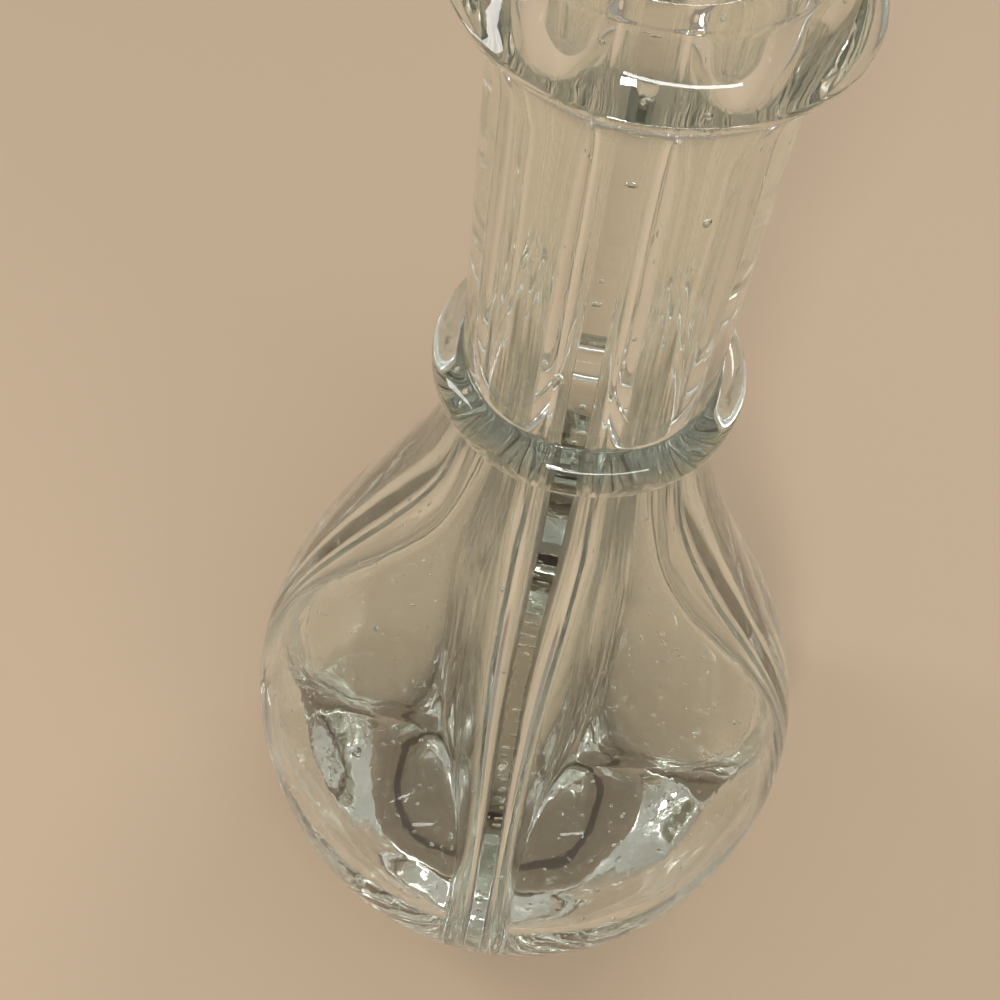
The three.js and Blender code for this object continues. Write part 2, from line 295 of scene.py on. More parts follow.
def by_curvature(points, count, closed, turn_share=0.5):
    """Resamples a polyline to count points, closer together where it turns."""
    if closed:
        points = np.vstack([points, points[:1]])
    edge = np.diff(points, axis=0)
    length = np.linalg.norm(edge, axis=1)
    heading = np.arctan2(edge[:, 1], edge[:, 0])
    turn = np.abs((np.diff(heading) + np.pi) % (2 * np.pi) - np.pi)
    if closed:
        turn = np.r_[turn, abs((heading[0] - heading[-1] + np.pi) % (2 * np.pi) - np.pi)]
        at_edge = (turn + np.roll(turn, 1)) / 2
    else:
        at_edge = (np.r_[turn, 0] + np.r_[0, turn]) / 2
    weight = (1 - turn_share) * length / length.sum() + turn_share * at_edge / at_edge.sum()
    along = np.r_[0, np.cumsum(weight)]
    at = np.linspace(0, along[-1], count + 1)[:-1] if closed else np.linspace(0, along[-1], count)
    return np.stack([np.interp(at, along, points[:, 0]), np.interp(at, along, points[:, 1])], 1)


SHOULDER = bezier(
    (GLOBE_RADIUS, GLOBE_CENTRE),
    (GLOBE_RADIUS, GLOBE_CENTRE + SHOULDER_LOWER_PULL),
    (NECK_RADIUS, SHOULDER_TOP - SHOULDER_UPPER_PULL),
    (NECK_RADIUS, SHOULDER_TOP),
)


def shoulder_radius(height):
    return float(np.interp(height, SHOULDER[:, 1], SHOULDER[:, 0]))


def outer_profile():
    """Radius and height of the outside, from the neck above the collar down to the middle of the base."""
    open_angle = math.acos((NECK_RADIUS - RING_CENTRE_RADIUS) / RING_TUBE_RADIUS)
    ring_rise = RING_TUBE_RADIUS * math.sin(open_angle)
    below = COLLAR_HEIGHT - COLLAR_EDGE
    above = COLLAR_HEIGHT + COLLAR_EDGE
    edge = COLLAR_RADIUS + COLLAR_EDGE
    slope_control = (
        mix(COLLAR_CREASE_RADIUS, COLLAR_RADIUS, COLLAR_SLOPE_OUT),
        mix(above, COLLAR_CREASE_HEIGHT, COLLAR_SLOPE_UP),
    )
    belly_control = (NECK_RADIUS + COLLAR_BELLY_OUT, mix(COLLAR_FOOT, below, COLLAR_BELLY_UP))
    foot_angle = math.asin((GLOBE_CENTRE - FOOT_ROUNDING) / GLOBE_DEPTH)
    lower = np.linspace(0, foot_angle, LOWER_GLOBE_POINTS)
    lower = np.stack([GLOBE_RADIUS * np.cos(lower), GLOBE_CENTRE - GLOBE_DEPTH * np.sin(lower)], 1)
    foot = lower[-1]
    parts = [
        bezier((NECK_RADIUS, REVOLVE_TOP), (NECK_RADIUS, COLLAR_TOP)),
        bezier((NECK_RADIUS, COLLAR_TOP), (COLLAR_CREASE_RADIUS, COLLAR_CREASE_HEIGHT)),
        bezier((COLLAR_CREASE_RADIUS, COLLAR_CREASE_HEIGHT), slope_control, (COLLAR_RADIUS, above)),
        bezier((COLLAR_RADIUS, above), (edge, COLLAR_HEIGHT), (COLLAR_RADIUS, below), step=EDGE_STEP),
        bezier((COLLAR_RADIUS, below), belly_control, (NECK_RADIUS, COLLAR_FOOT)),
        bezier((NECK_RADIUS, COLLAR_FOOT), (NECK_RADIUS, RING_HEIGHT + ring_rise)),
        arc((RING_CENTRE_RADIUS, RING_HEIGHT), RING_TUBE_RADIUS, open_angle, -open_angle),
        bezier((NECK_RADIUS, RING_HEIGHT - ring_rise), (NECK_RADIUS, SHOULDER_TOP)),
        SHOULDER[::-1],
        lower,
        bezier(foot, (foot[0] - FOOT_ROUNDING / 2, 0), (foot[0] - 2 * FOOT_ROUNDING, 0)),
        bezier((foot[0] - 2 * FOOT_ROUNDING, 0), (KICK_RADIUS, 0)),
        bezier((KICK_RADIUS, 0), (KICK_PULL * KICK_RADIUS, KICK_HEIGHT), (0, KICK_HEIGHT)),
    ]
    points = respaced(joined(parts), OUTLINE_STEP)
    # The collar's thin edge and the foot stay sharper than the rest
    thin = np.exp(-(((points[:, 1] - COLLAR_HEIGHT) / EDGE_REACH) ** 2))
    thin *= points[:, 0] > COLLAR_RADIUS - EDGE_WIDTH
    strength = 1 - EDGE_SHARPNESS * thin
    strength[points[:, 1] < FOOT_REACH] *= FOOT_MELTING
    points = melted(points, strength, OUTLINE_MELTS)
    points[:, 1] = np.maximum(points[:, 1], 0)
    return by_curvature(points, OUTLINE_POINTS, closed=False)


def web_distance(height):
    if height >= WEB_FLARE_TOP:
        return WEB_HALF
    drop = (WEB_FLARE_TOP - height) / (WEB_FLARE_TOP - FLOOR_HEIGHT)
    return mix(FLOOR_CENTRE, WEB_HALF, math.sqrt(max(0.0, 1 - drop * drop)))


def bubble_radius(height):
    if height >= SHOULDER_TOP:
        return NECK_RADIUS - NECK_WALL
    if height >= GLOBE_CENTRE:
        rise = (height - GLOBE_CENTRE) / (SHOULDER_TOP - GLOBE_CENTRE)
        return shoulder_radius(height) - mix(GLOBE_WALL, NECK_WALL, rise)
    drop = (GLOBE_CENTRE - height) / (GLOBE_CENTRE - FLOOR_HEIGHT)
    share = max(0.0, 1 - drop**FLOOR_FULLNESS) ** (1 / FLOOR_FULLNESS)
    return mix(math.sqrt(2) * FLOOR_CENTRE, GLOBE_RADIUS - GLOBE_WALL, share)


def bubble_section(height):
    """LOOP points of one level of the +X+Y quarter's bubble, from its outermost point anticlockwise."""
    web = web_distance(height)
    radius = bubble_radius(height)
    largest = (radius + web) / (1 + math.sqrt(2)) - web
    if height < FLAT_HEIGHT:
        core_share = CORE_SHARE + CORE_GAIN * ((FLAT_HEIGHT - height) / CORE_DROP) ** 2
    else:
        core_share = mix(CORE_SHARE, ROUND_SHARE, eased(height, FLAT_HEIGHT, CORE_ROUND_ABOVE))
    corner_share = mix(CORNER_SHARE, ROUND_SHARE, eased(height, CORNER_WIDENS_ABOVE, CORNER_ROUND_ABOVE))
    floor_share = eased(height, FLOOR_ROUND_FROM, FLOOR_ROUND_BELOW)
    core = largest * mix(core_share, ROUND_SHARE, floor_share)
    corner = largest * mix(corner_share, ROUND_SHARE, floor_share)
    reach = math.sqrt(max((radius - corner) ** 2 - (web + corner) ** 2, 0.0))
    core = min(core, reach - web)
    edge = math.atan2(web + corner, reach)
    right = math.pi / 2
    step = max(largest, 0.05) / 60
    half = joined([
        arc((0, 0), radius, right / 2, right - edge, step),
        arc((web + corner, reach), corner, right - edge, 2 * right, step),
        bezier((web, reach), (web, web + core), step=step),
        arc((web + core, web + core), core, 2 * right, 2.5 * right, step),
    ])
    mirrored = half[::-1, ::-1]
    points = by_curvature(joined([half, mirrored[1:-1]]), LOOP, closed=True)
    return np.column_stack([points, np.full(LOOP, height)])


def bubble_heights():
    """Levels from just above the bubble's lowest point up to the channel in the neck."""
    angle = np.linspace(0, math.pi / 2, FLOOR_ROWS)[1:]
    floor = GLOBE_CENTRE - (GLOBE_CENTRE - FLOOR_HEIGHT) * np.cos(angle)
    globe = np.arange(GLOBE_CENTRE + 2, SHOULDER_TOP, GLOBE_ROW)
    neck = np.arange(SHOULDER_TOP + 1, CHANNEL_TOP - 1, CHANNEL_ROW)
    return np.r_[floor, globe, neck]


class Skin:
    """Points and faces of a mesh that is put together from rings."""

    def __init__(self):
        self.points = []
        self.faces = []

    def add(self, points):
        start = len(self.points)
        self.points.extend(tuple(float(c) for c in p) for p in points)
        return list(range(start, len(self.points)))

    def band(self, first, second):
        count = len(first)
        for k in range(count):
            n = (k + 1) % count
            self.faces.append((first[k], first[n], second[n], second[k]))

    def fan(self, ring, tip):
        count = len(ring)
        for k in range(count):
            self.faces.append((ring[k], ring[(k + 1) % count], tip))


def turn_quarter(points, turns):
    points = np.array(points, float)
    for _ in range(turns):
        points = np.column_stack([-points[:, 1], points[:, 0], points[:, 2]])
    return points


# Axis of the spout in the +X+Y quarter, and the two directions across it
SPOUT_AXIS = np.array([math.sin(SPOUT_TILT) / math.sqrt(2)] * 2 + [math.cos(SPOUT_TILT)])
SPOUT_OUT = np.array([math.cos(SPOUT_TILT) / math.sqrt(2)] * 2 + [-math.sin(SPOUT_TILT)])
SPOUT_SIDE = np.cross(SPOUT_AXIS, SPOUT_OUT)
SPOUT_FOOT = np.array([SPOUT_OFFSET, SPOUT_OFFSET, NECK_TOP])
SPOUT_MOUTH = SPOUT_FOOT + SPOUT_LENGTH * SPOUT_AXIS


def cage_circle(centre, radius, out, side, angles):
    """A ring of cage points. Subdivision draws a ring in a little, so the cage is made that much larger."""
    grown = radius / ((2 + math.cos(2 * math.pi / len(angles))) / 3)
    return [centre + grown * (math.cos(a) * out + math.sin(a) * side) for a in angles]


def spout_ring(height, radius):
    angles = 2 * math.pi * np.arange(CAGE_LOOP) / CAGE_LOOP
    return cage_circle(SPOUT_MOUTH + height * SPOUT_AXIS, radius, SPOUT_OUT, SPOUT_SIDE, angles)


def top_cage():
    """Coarse cage of the neck's top with its four spouts, open at the neck and at the four channels."""
    skin = Skin()
    columns = 2 * math.pi * np.arange(CAGE_COLUMNS) / CAGE_COLUMNS
    shrink = (2 + math.cos(columns[1])) / 3
    bulge = np.sin(2 * columns) ** 2
    rings = []
    for radius, height, push in NECK_EDGE:
        grown = (radius + push * bulge) / shrink
        ring = np.column_stack([grown * np.cos(columns), grown * np.sin(columns), 0 * grown + height])
        rings.append(skin.add(ring))
    for lower, upper in zip(rings, rings[1:]):
        skin.band(lower, upper)
    rim = rings[-1]
    centre = skin.add([(0, 0, MIDDLE_HEIGHT)])[0]
    spoke = [(radius, 0, height) for radius, height in BETWEEN_SPOUTS]
    spokes = [skin.add(turn_quarter(spoke, turn)) for turn in range(4)]
    per_quarter = CAGE_COLUMNS // 4
    level = np.array([0.0, 0.0, 1.0])
    diagonal = np.array([1.0, 1.0, 0.0]) / math.sqrt(2)
    across = np.cross(level, diagonal)
    uniform = 2 * math.pi * np.arange(CAGE_LOOP) / CAGE_LOOP
    for turn in range(4):
        first = turn * per_quarter
        arc_ids = [rim[(first + k) % CAGE_COLUMNS] for k in range(per_quarter + 1)]
        mid = per_quarter // 2
        here, there = spokes[turn], spokes[(turn + 1) % 4]
        polygon = arc_ids[mid:] + [there[0], there[1], centre, here[1], here[0]] + arc_ids[:mid]
        flat = np.array([skin.points[i] for i in polygon])
        flat = turn_quarter(flat, (4 - turn) % 4)
        from_foot = flat - SPOUT_FOOT
        seen = np.arctan2(from_foot @ across, from_foot @ diagonal) % (2 * math.pi)
        seen[0] = 0.0
        loops = []
        for radius, height, evenness in SPOUT_ROOT:
            angles = mix(seen, uniform, evenness)
            grown = radius / ROOT_SHRINK
            rise = height - NECK_TOP + math.sin(SPOUT_TILT) * grown * np.cos(angles)
            reach = rise / math.cos(SPOUT_TILT)
            out = np.outer(np.cos(angles), SPOUT_OUT) + np.outer(np.sin(angles), SPOUT_SIDE)
            loops.append(SPOUT_FOOT + np.outer(reach, SPOUT_AXIS) + grown * out)
        for height, radius in SPOUT_OUTSIDE + SPOUT_LIP + SPOUT_BORE:
            loops.append(spout_ring(height, radius))
        for offset, height, radius, tilt_share in CHANNEL_TURN:
            tilt = SPOUT_TILT * tilt_share
            out = diagonal * math.cos(tilt) - level * math.sin(tilt)
            middle = np.array([offset, offset, height])
            loops.append(cage_circle(middle, radius, out, across, uniform))
        previous = polygon
        for loop in loops:
            ring = skin.add(turn_quarter(loop, turn))
            skin.band(previous, ring)
            previous = ring
    return skin


def mesh_from(name, points, faces):
    mesh = bpy.data.meshes.new(name)
    mesh.from_pydata([tuple(p) for p in points], [], faces)
    mesh.update()
    return mesh


def subdivided(skin, levels):
    """Points and faces of the smooth surface that a cage stands for."""
    mesh = mesh_from("cage", skin.points, skin.faces)
    cage = bpy.data.objects.new("cage", mesh)
    bpy.context.scene.collection.objects.link(cage)
    modifier = cage.modifiers.new("smooth", "SUBSURF")
    modifier.levels = levels
    modifier.render_levels = levels
    graph = bpy.context.evaluated_depsgraph_get()
    result = bpy.data.meshes.new_from_object(cage.evaluated_get(graph))
    points = np.zeros(len(result.vertices) * 3)
    result.vertices.foreach_get("co", points)
    faces = [tuple(p.vertices) for p in result.polygons]
    bpy.data.objects.remove(cage)
    bpy.data.meshes.remove(mesh)
    bpy.data.meshes.remove(result)
    return points.reshape(-1, 3), faces


def open_loops(points, faces):
    """Rings of points round the holes of a mesh, in no set order inside a ring."""
    uses = {}
    for face in faces:
        for a, b in zip(face, face[1:] + face[:1]):
            key = (min(a, b), max(a, b))
            uses[key] = uses.get(key, 0) + 1
    next_to = {}
    for (a, b), count in uses.items():
        if count == 1:
            next_to.setdefault(a, []).append(b)
            next_to.setdefault(b, []).append(a)
    loops = []
    seen = set()
    for start in next_to:
        if start in seen:
            continue
        loop, current = [], start
        while current not in seen:
            seen.add(current)
            loop.append(current)
            fresh = [n for n in next_to[current] if n not in seen]
            if not fresh:
                break
            current = fresh[0]
        loops.append(loop)
    return loops


def in_step(points, loop, centre, start_angle):
    """Orders a ring anticlockwise round a centre, from a start angle."""
    angle = np.arctan2(points[loop, 1] - centre[1], points[loop, 0] - centre[0]) - start_angle
    angle = (angle + 1e-3) % (2 * math.pi)
    return [loop[k] for k in np.argsort(angle)]


def glass_shell():
    """The whole fused glass body: outside, four spouts and four bubbles, as one closed skin."""
    points, faces = subdivided(top_cage(), CAGE_LEVELS)
    loops = open_loops(points, faces)
    skin = Skin()
    skin.add(points)
    skin.faces.extend(faces)

    profile = outer_profile()
    neck_loop = next(l for l in loops if len(l) == COLUMNS)
    neck_loop = in_step(points, neck_loop, (0, 0), 0)
    columns = 2 * math.pi * np.arange(COLUMNS) / COLUMNS
    previous = neck_loop
    outer_start = len(skin.points)
    for radius, height in profile[1:-1]:
        ring = np.column_stack([radius * np.cos(columns), radius * np.sin(columns), 0 * columns + height])
        ring = skin.add(ring)
        skin.band(previous, ring)
        previous = ring
    skin.fan(previous, skin.add([(0, 0, KICK_HEIGHT)])[0])
    outer_ids = range(outer_start, len(skin.points))

    channels = [l for l in loops if len(l) == LOOP]
    sections = [bubble_section(h) for h in bubble_heights()[::-1]]
    foot = np.array([[FLOOR_CENTRE, FLOOR_CENTRE, FLOOR_HEIGHT]])
    bubble_ids = []
    for turn in range(4):
        bubble_start = len(skin.points)
        offset = turn_quarter([(CHANNEL_OFFSET, CHANNEL_OFFSET, 0)], turn)[0]
        start = math.pi / 4 + turn * math.pi / 2
        channel = next(l for l in channels if np.hypot(*(points[l].mean(0) - offset)[:2]) < 1)
        previous = in_step(points, channel, offset, start)
        for section in sections:
            ring = skin.add(turn_quarter(section, turn))
            skin.band(previous, ring)
            previous = ring
        skin.fan(previous, skin.add(turn_quarter(foot, turn))[0])
        bubble_ids.append(range(bubble_start, len(skin.points)))
    return np.array(skin.points), skin.faces, outer_ids, bubble_ids


def wave(point, size, offset=0.0):
    return noise.noise(Vector(point) / size + Vector((offset, 0.37 * offset, -offset)))


def lean(points):
    """The slight lean of the globe to the left, at its base and below its shoulder."""
    points = np.array(points, float)
    height = points[:, 2]
    base = np.clip((BASE_LEAN_TOP - height) / BASE_LEAN_TOP, 0, 1)
    shoulder = np.exp(-(((height - SHOULDER_LEAN_HEIGHT) / SHOULDER_LEAN_REACH) ** 2))
    points[:, 0] -= BASE_LEAN * base * base * (3 - 2 * base) + SHOULDER_LEAN * shoulder
    return points


def swelling(place, depth, size, offset):
    """How far inwards a point moves, from nothing to twice the depth."""
    return depth * (1 + wave(place, size, offset))


def hand_made(point):
    """Moves a point of the glass body by the small unevenness of blown glass."""
    x, y, z = point
    radius = math.hypot(x, y)
    if radius < 1e-6:
        return point
    inward = Vector((-x / radius, -y / radius, 0))
    drawn_place = Vector((x, y, WALL_DRAWN * z))
    streak_place = Vector((STREAK_TURN * x / radius, STREAK_TURN * y / radius, STREAK_DRAWN * z))
    # It fades out at the foot and below the spouts, and the ring has hardly any streaks
    fade = eased(z, *FROM_FOOT) * eased(z, *TO_SPOUTS)
    on_ring = eased(radius, *ONTO_RING) * math.exp(-(((z - RING_HEIGHT) / RING_REACH) ** 2))
    on_neck = eased(z, *ONTO_NECK) * fade * (1 - RING_CALM * on_ring)
    on_rim = eased(radius, *ONTO_RIM) * eased(z, *UP_RIM)
    amount = (
        fade * swelling(drawn_place, *WALL_SWELL)
        + fade * swelling(drawn_place, *WALL_DIMPLES)
        + on_neck * swelling(streak_place, *NECK_STREAKS)
        + on_rim * swelling((x, y, 0), *COLLAR_BEADS)
    )
    return tuple(Vector(point) + amount * inward)


def uneven_bubble(point, turn):
    """The bubbles' own unevenness, and the chill ripples near their floors."""
    x, y, z = point
    fade = eased(z, *FROM_BUBBLE_FLOOR) * eased(z, *TO_CHANNEL_TOP)
    centre = turn_quarter([(FLOOR_CENTRE, FLOOR_CENTRE, 0)], turn)[0].tolist()
    if z < BUBBLE_AXIS_TOP:
        out = Vector((x - centre[0], y - centre[1], 0))
    else:
        out = Vector((x, y, 0)).normalized()
    if out.length > 1e-6:
        out.normalize()
    place = Vector((x, y, BUBBLE_DRAWN * z))
    amount = 0.0
    for depth, size, offset in (BUBBLE_SWELL, BUBBLE_DIMPLES):
        amount += depth * wave(place, size, offset + turn)
    wander, size, offset = RIPPLE_WANDER
    ripple = math.sin(2 * math.pi * (z + wander * wave(place, size, offset)) / RIPPLE_LENGTH)
    amount += RIPPLE_DEPTH * ripple * eased(z, *TO_RIPPLES)
    return tuple(Vector(point) + amount * fade * out)


def glass_material(name, tint, absorb, density, rough, bump, streaks, calm_height=0.0):
    """Clear glass with cord, smears and depth colour. The cord is fainter at calm_height, in metres."""
    material = bpy.data.materials.new(name)
    material.use_nodes = True
    nodes, links = material.node_tree.nodes, material.node_tree.links
    nodes.clear()

    def node(kind, **settings):
        made = nodes.new(kind)
        for key, value in settings.items():
            if key.startswith("in_"):
                made.inputs[key[3:].replace("_", " ")].default_value = value
            else:
                setattr(made, key, value)
        return made

    out = node("ShaderNodeOutputMaterial")
    shader = node("ShaderNodeBsdfPrincipled", in_IOR=GLASS_IOR)
    shader.inputs["Transmission Weight"].default_value = 1.0
    links.new(shader.outputs["BSDF"], out.inputs["Surface"])
    place = node("ShaderNodeTexCoord")
    drawn = node("ShaderNodeMapping")
    drawn.inputs["Scale"].default_value = streaks
    links.new(place.outputs["Object"], drawn.inputs["Vector"])

    cord = node("ShaderNodeTexNoise", in_Scale=160.0, in_Detail=3.0, in_Roughness=0.5)
    links.new(drawn.outputs["Vector"], cord.inputs["Vector"])
    swell = node("ShaderNodeTexNoise", in_Scale=45.0, in_Detail=1.0, in_Distortion=0.4)
    links.new(place.outputs["Object"], swell.inputs["Vector"])
    smear = node("ShaderNodeTexNoise", in_Scale=70.0, in_Detail=6.0, in_Roughness=0.65, in_Distortion=1.2)
    links.new(place.outputs["Object"], smear.inputs["Vector"])

    # Bump from swell and cord
    height = node("ShaderNodeMath", operation="MULTIPLY_ADD")
    parts = node("ShaderNodeSeparateXYZ")
    links.new(place.outputs["Object"], parts.inputs["Vector"])
    near = node("ShaderNodeMath", operation="COMPARE")
    near.inputs[1].default_value = calm_height
    near.inputs[2].default_value = CALM_REACH
    links.new(parts.outputs["Z"], near.inputs[0])
    cord_share = node("ShaderNodeMapRange")
    cord_share.inputs["To Min"].default_value = CORD_SHARE
    cord_share.inputs["To Max"].default_value = CALM_CORD_SHARE
    links.new(near.outputs["Value"], cord_share.inputs["Value"])
    links.new(cord_share.outputs["Result"], height.inputs[1])
    links.new(cord.outputs["Fac"], height.inputs[0])
    links.new(swell.outputs["Fac"], height.inputs[2])
    bumped = node("ShaderNodeBump", in_Strength=1.0, in_Distance=bump)
    links.new(height.outputs["Value"], bumped.inputs["Height"])
    links.new(bumped.outputs["Normal"], shader.inputs["Normal"])

    # Smears are a little darker and greener, and less glossy
    shade = node("ShaderNodeMixRGB")
    shade.inputs["Color1"].default_value = (*tint, 1)
    shade.inputs["Color2"].default_value = (*[c * f for c, f in zip(tint, SMEAR_TINT)], 1)
    links.new(smear.outputs["Fac"], shade.inputs["Fac"])
    links.new(shade.outputs["Color"], shader.inputs["Base Color"])

    gloss = node("ShaderNodeMapRange")
    gloss.inputs["From Min"].default_value = 0.5
    gloss.inputs["From Max"].default_value = 0.8
    gloss.inputs["To Min"].default_value = rough[0]
    gloss.inputs["To Max"].default_value = rough[1]
    links.new(smear.outputs["Fac"], gloss.inputs["Value"])
    links.new(gloss.outputs["Result"], shader.inputs["Roughness"])

    volume = node("ShaderNodeVolumeAbsorption", in_Density=density)
    volume.inputs["Color"].default_value = (*absorb, 1)
    links.new(volume.outputs["Volume"], out.inputs["Volume"])
    return material


def ground_material():
    """Glass ground matt with grit, where plug and seat meet: partly clear and partly white."""
    material = glass_material(
        "ground_glass",
        tint=(0.95, 0.96, 0.95),
        absorb=(0.66, 0.72, 0.64),
        density=12.0,
        rough=(0.3, 0.45),
        bump=0.00003,
        streaks=(1, 1, 1),
    )
    shader = material.node_tree.nodes["Principled BSDF"]
    shader.inputs["Transmission Weight"].default_value = 0.6
    return material


def with_outward_normals(points, faces):
    """The same faces, each wound so that its normal points out of the glass."""
    mesh = mesh_from("wound", points, faces)
    work = bmesh.new()
    work.from_mesh(mesh)
    bmesh.ops.recalc_face_normals(work, faces=work.faces)
    work.to_mesh(mesh)
    work.free()
    wound = [tuple(p.vertices) for p in mesh.polygons]
    bpy.data.meshes.remove(mesh)
    return wound


def piece(name, points, faces, materials):
    obj = bpy.data.objects.new(name, mesh_from(name, points, faces))
    bpy.context.scene.collection.objects.link(obj)
    for material in materials:
        obj.data.materials.append(material)
    obj.data.shade_smooth()
    return obj


def ball():
    """Points and faces of a small round bubble, wound so that its normals point inwards."""
    work = bmesh.new()
    bmesh.ops.create_icosphere(work, subdivisions=2, radius=1.0)
    points = np.array([v.co for v in work.verts])
    faces = [tuple(v.index for v in reversed(f.verts)) for f in work.faces]
    work.free()
    return points, faces


def seeds(points, faces, count, rng):
    """Small trapped bubbles inside walls and webs, drawn out along the way the glass was worked."""
    tree = BVHTree.FromPolygons([tuple(p) for p in points], faces)
    corners = [np.array([points[i] for i in f]) for f in faces]
    middles = np.array([c.mean(0) for c in corners])
    crosses = np.array([np.cross(c[2] - c[0], c[-1] - c[1]) for c in corners])
    areas = np.linalg.norm(crosses, axis=1)
    # More for the same area low in the globe, where the photograph shows most
    low = np.clip((SEED_LOW_BELOW - middles[:, 2]) / SEED_LOW_DEPTH, 0, 1)
    weights = areas * (SEED_WEIGHT + SEED_WEIGHT_LOW * low)
    round_points, round_faces = ball()
    made_points, made_faces = [], []
    next_index = len(points)
    for index in rng.choices(range(len(areas)), weights=weights, k=count * SEED_TRIES):
        if len(made_points) == count:
            break
        inward = -Vector(crosses[index] / areas[index])
        start = Vector(middles[index]) + inward * UNDER_SKIN
        _, _, _, thickness = tree.ray_cast(start, inward)
        size = SEED_RADIUS * math.exp(abs(rng.gauss(0, SEED_SPREAD)))
        stretch = rng.uniform(*SEED_STRETCH)
        share = rng.uniform(*SEED_PLACE)
        long_way = Vector((rng.gauss(0, 1), rng.gauss(0, 1), rng.gauss(0, 1)))
        if thickness is None or thickness > THICKEST_GLASS:
            continue
        centre = start + inward * share * thickness
        _, _, _, room = tree.find_nearest(centre)
        if room < size * stretch * SEED_ROOM:
            continue
        if centre.z > DRAWN_ABOVE:
            long_way = Vector((0, 0, 1))
        else:
            stretch = mix(1.0, stretch, GLOBE_STRETCH)
        turn = np.array(long_way.normalized().to_track_quat("Z", "Y").to_matrix())
        shape = (round_points * np.array([size, size, size * stretch])) @ turn.T + np.array(centre)
        made_points.append(shape)
        made_faces.extend(tuple(next_index + i for i in f) for f in round_faces)
        next_index += len(round_points)
    return np.vstack([points, *made_points]), faces + made_faces


# Pieces
bottle_glass = glass_material(
    "bottle_glass",
    tint=(0.99, 0.995, 0.985),
    absorb=(0.71, 0.74, 0.67),
    density=9.0,
    rough=(0.0, 0.02),
    bump=0.00011,
    streaks=(1, 1, 0.08),
    calm_height=RING_HEIGHT * MM,
)
stopper_glass = glass_material(
    "stopper_glass",
    tint=(0.99, 0.995, 0.985),
    absorb=(0.66, 0.72, 0.64),
    density=12.0,
    rough=(0.0, 0.02),
    bump=0.00012,
    streaks=(1, 1, 1),
)
ground_glass = ground_material()

points, faces, outer_ids, bubble_ids = glass_shell()
for i in outer_ids:
    points[i] = hand_made(points[i].tolist())
for turn, ids in enumerate(bubble_ids):
    for i in ids:
        points[i] = uneven_bubble(points[i].tolist(), turn)
points = lean(points)
faces = with_outward_normals(points, faces)
shell_faces = len(faces)
points, faces = seeds(points, faces, SEED_COUNT, random.Random(SEED))
body = piece("glass_body", points * MM, faces, [bottle_glass, ground_glass])
for polygon in body.data.polygons[:shell_faces]:
    middle = np.array(polygon.center) / MM
    if middle[2] < NECK_TOP:
        continue
    turn = int(math.atan2(middle[1], middle[0]) % (2 * math.pi) // (math.pi / 2))
    local = turn_quarter([middle], (4 - turn) % 4)[0] - SPOUT_MOUTH
    depth = -(local @ SPOUT_AXIS)
    across = np.linalg.norm(local + depth * SPOUT_AXIS)
    if across < SEAT_RADIUS + SEAT_MARGIN and SEAT_GROUND_FROM < depth < PLUG_LENGTH + SEAT_GROUND_PAST:
        polygon.material_index = GROUND_SLOT
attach(body, "body")
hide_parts(*[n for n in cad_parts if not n.startswith("stopper_")])


def stopper_profile():
    """Radius of a stopper, and height along its axis from the spout's mouth, from its foot to its tip."""
    top = SEAT_GAP + FLANGE_THICKNESS
    shoulder = SEAT_RADIUS - SEAT_GAP
    foot = shoulder - SEAT_TAPER * PLUG_LENGTH
    parts = [
        bezier((0, -PLUG_LENGTH), (foot - PLUG_BEVEL, -PLUG_LENGTH)),
        bezier((foot - PLUG_BEVEL, -PLUG_LENGTH), (foot, -PLUG_LENGTH + PLUG_BEVEL)),
        bezier((foot, -PLUG_LENGTH + PLUG_BEVEL), (shoulder, SEAT_GAP)),
        bezier((shoulder, SEAT_GAP), (FLANGE_UNDER, SEAT_GAP)),
        bezier((FLANGE_UNDER, SEAT_GAP), (FLANGE_EDGE, SEAT_GAP), (FLANGE_EDGE, top), (FLANGE_OVER, top)),
        bezier((FLANGE_OVER, top), (STEM_RADIUS, top), (STEM_RADIUS, STEM_TOP)),
        bezier(
            (STEM_RADIUS, STEM_TOP),
            (KNOB_RADIUS, KNOB_FOOT),
            (KNOB_RADIUS, KNOB_WIDEST),
            (KNOB_RADIUS, KNOB_SHOULDER),
        ),
        bezier((KNOB_RADIUS, KNOB_SHOULDER), (KNOB_RADIUS, KNOB_PULL), (TIP_RADIUS, TIP_FOOT), (0, TIP_TOP)),
    ]
    points = respaced(joined(parts), STOPPER_STEP)
    points = melted(points, np.ones(len(points)), STOPPER_MELTS)
    points[0] = (0, -PLUG_LENGTH)
    points[-1] = (0, TIP_TOP)
    return by_curvature(points, STOPPER_POINTS, closed=False, turn_share=0.45)


def on_spout(height, radius=0.0, angle=0.0):
    """A point beside the spout's axis in the +X+Y quarter, at a height above its mouth."""
    across = radius * (math.cos(angle) * SPOUT_OUT + math.sin(angle) * SPOUT_SIDE)
    return SPOUT_MOUTH + height * SPOUT_AXIS + across


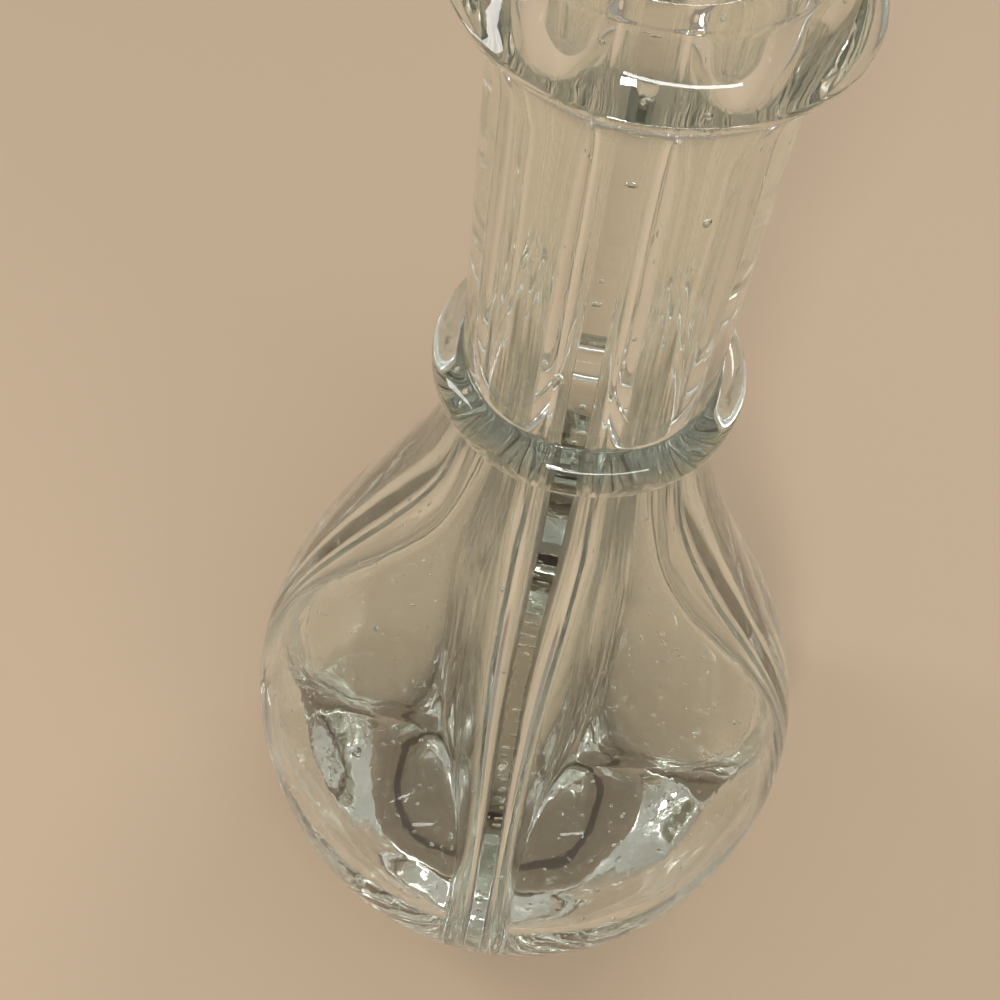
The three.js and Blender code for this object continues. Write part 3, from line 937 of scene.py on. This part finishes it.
def make_stopper(name, turn):
    skin = Skin()
    profile = stopper_profile()
    angles = 2 * math.pi * np.arange(STOPPER_SIDES) / STOPPER_SIDES
    foot = skin.add(turn_quarter([on_spout(profile[0][1])], turn))[0]
    previous = None
    for radius, height in profile[1:-1]:
        ring = skin.add(turn_quarter([on_spout(height, radius, angle) for angle in angles], turn))
        if previous is None:
            skin.fan(ring, foot)
        else:
            skin.band(previous, ring)
        previous = ring
    tip = skin.add(turn_quarter([on_spout(profile[-1][1])], turn))[0]
    skin.fan(previous, tip)
    faces = with_outward_normals(skin.points, skin.faces)
    obj = piece(f"glass_{name}", np.array(skin.points) * MM, faces, [stopper_glass, ground_glass])
    for face in obj.data.polygons:
        centre = turn_quarter([tuple(face.center / MM)], (4 - turn) % 4)[0]
        if (centre - SPOUT_MOUTH) @ SPOUT_AXIS < PLUG_GROUND_TOP:
            face.material_index = GROUND_SLOT
    return obj


for turn, quarter in enumerate(QUARTERS):
    stopper = make_stopper(f"stopper_{quarter}", turn)
    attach(stopper, f"{quarter}_stopper")
    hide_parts(f"stopper_{quarter}")

# Floor
FLOOR_SIZE = 30
FLOOR_COLOUR = (0.52, 0.39, 0.26, 1)
FLOOR_ROUGHNESS = 0.6
bpy.ops.mesh.primitive_plane_add(size=FLOOR_SIZE, location=(0, 0, 0))
floor = bpy.context.active_object
floor.name = "floor"
floor_material = bpy.data.materials.new("floor")
floor_material.use_nodes = True
floor_shader = floor_material.node_tree.nodes["Principled BSDF"]
floor_shader.inputs["Base Color"].default_value = FLOOR_COLOUR
floor_shader.inputs["Roughness"].default_value = FLOOR_ROUGHNESS
floor.data.materials.append(floor_material)

# Light: a pale room, brightest from a good way up, and four softboxes
HORIZON_COLOUR = (0.55, 0.5, 0.44, 1)
SKY_COLOUR = (1.0, 1.0, 1.0, 1)
SKY_FROM = 0.7
WORLD_STRENGTH = 0.52
# Name, place, point that it is aimed at, width and height, and watts
SOFTBOXES = (
    ("key", (-0.15, -1.05, 1.25), (0, 0, 0.12), (0.2, 0.2), 8),
    ("front", (0.35, -0.95, 1.05), (0, 0, 0.12), (1.3, 0.09), 5.5),
    ("side", (-1.1, 0.1, 0.9), (0, 0, 0.12), (0.15, 0.9), 4),
    ("back", (0.5, 1.1, 1.0), (0, 0, 0.15), (0.8, 0.15), 4),
)
world = bpy.data.worlds.new("studio")
bpy.context.scene.world = world
world.use_nodes = True
world_nodes, world_links = world.node_tree.nodes, world.node_tree.links
background = world_nodes["Background"]
direction = world_nodes.new("ShaderNodeTexCoord")
parts = world_nodes.new("ShaderNodeSeparateXYZ")
ramp = world_nodes.new("ShaderNodeValToRGB")
world_links.new(direction.outputs["Generated"], parts.inputs["Vector"])
world_links.new(parts.outputs["Z"], ramp.inputs["Fac"])
world_links.new(ramp.outputs["Color"], background.inputs["Color"])
horizon, sky = ramp.color_ramp.elements
horizon.position = 0.0
horizon.color = HORIZON_COLOUR
sky.position = SKY_FROM
sky.color = SKY_COLOUR
background.inputs["Strength"].default_value = WORLD_STRENGTH


def softbox(name, location, target, size, power):
    data = bpy.data.lights.new(name, "AREA")
    data.shape = "RECTANGLE"
    data.size, data.size_y = size
    data.energy = power
    lamp = bpy.data.objects.new(name, data)
    bpy.context.scene.collection.objects.link(lamp)
    lamp.location = location
    lamp.rotation_mode = "QUATERNION"
    lamp.rotation_quaternion = (Vector(target) - Vector(location)).to_track_quat("-Z", "Y")


for settings in SOFTBOXES:
    softbox(*settings)

# Camera at the photograph's viewing angle: its place in metres, its angles in radians, and its lens
EYE = Vector((0, -0.16625, 0.40371))
PITCH = 1.0003
ROLL = -0.1354
YAW = -0.0739
LENS = 54
SENSOR_WIDTH = 36
forward = Vector((math.sin(YAW) * math.cos(PITCH), math.cos(YAW) * math.cos(PITCH), -math.sin(PITCH)))
level_right = Vector((math.cos(YAW), -math.sin(YAW), 0))
level_down = forward.cross(level_right)
image_right = math.cos(ROLL) * level_right + math.sin(ROLL) * level_down
image_down = -math.sin(ROLL) * level_right + math.cos(ROLL) * level_down
camera_data = bpy.data.cameras.new("camera")
camera_data.lens = LENS
camera_data.sensor_width = SENSOR_WIDTH
camera_data.clip_start = 0.01
camera = bpy.data.objects.new("camera", camera_data)
bpy.context.scene.collection.objects.link(camera)
camera.matrix_world = Matrix((
    (image_right.x, -image_down.x, -forward.x, EYE.x),
    (image_right.y, -image_down.y, -forward.y, EYE.y),
    (image_right.z, -image_down.z, -forward.z, EYE.z),
    (0, 0, 0, 1),
))
bpy.context.scene.camera = camera

# Light goes round and round inside the ring and the collar, so they are dark with few bounces
BOUNCES = 90
scene = bpy.context.scene
scene.view_settings.view_transform = "Standard"
scene.cycles.max_bounces = BOUNCES
scene.cycles.transmission_bounces = BOUNCES
scene.cycles.glossy_bounces = BOUNCES
